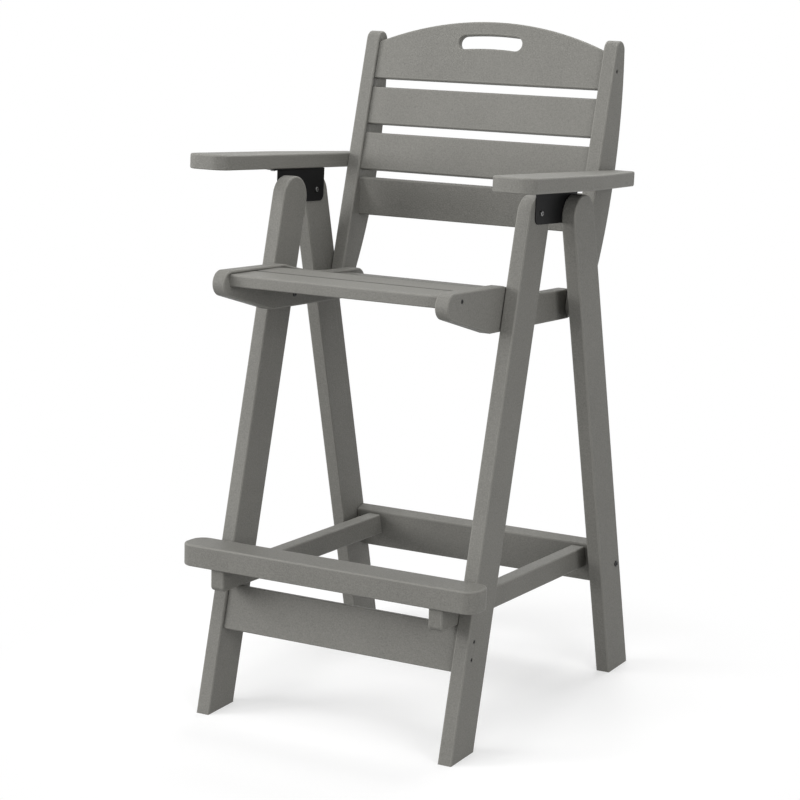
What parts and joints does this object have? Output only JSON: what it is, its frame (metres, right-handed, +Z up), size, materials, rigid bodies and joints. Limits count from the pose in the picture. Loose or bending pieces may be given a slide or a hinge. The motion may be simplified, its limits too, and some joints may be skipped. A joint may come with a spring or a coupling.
{
  "type": "bar chair",
  "caption": "Tall slatted bar chair with arms and a footrest, built of flat grey plastic boards on splayed legs, with an arched back that has a hand hold.",
  "frame": {"origin": "middle of the footprint box, on the floor under the four feet", "axes": "+Z up; -Y is the way the sitter faces, so the footrest is on the -Y side and the back on the +Y side; +X is on the viewer's right, seen from the front"},
  "size_m": [0.6692, 0.628, 1.1683],
  "materials": {
    "boards": "fine pebbled texture, matte, warm mid grey",
    "brackets": "black powder coat",
    "fasteners": "black coated steel"
  },
  "bodies": {
    "root": {"right_front_leg": "boards", "left_front_leg": "boards", "right_rear_leg": "boards", "left_rear_leg": "boards", "right_stretcher": "boards", "left_stretcher": "boards", "front_cross_rail": "boards", "rear_cross_rail": "boards", "footrest": "boards", "right_seat_rail": "boards", "left_seat_rail": "boards", "seat_slat_1": "boards", "seat_slat_2": "boards", "seat_slat_3": "boards", "seat_slat_4": "boards", "seat_slat_5": "boards", "right_back_post": "boards", "left_back_post": "boards", "back_slat_1": "boards", "back_slat_2": "boards", "back_slat_3": "boards", "back_slat_4": "boards", "right_arm": "boards", "left_arm": "boards", "right_arm_bracket": "brackets", "left_arm_bracket": "brackets", "front_rail_screws": "fasteners", "rear_rail_bolts": "fasteners", "stretcher_screws": "fasteners", "footrest_screws": "fasteners", "seat_rail_bolts": "fasteners", "post_bolts": "fasteners", "post_spacers": "fasteners", "seat_slat_screws": "fasteners", "back_slat_screws": "fasteners", "arm_post_screws": "fasteners", "bracket_leg_screws": "fasteners", "bracket_arm_screws": "fasteners"}
  },
  "joints": []
}
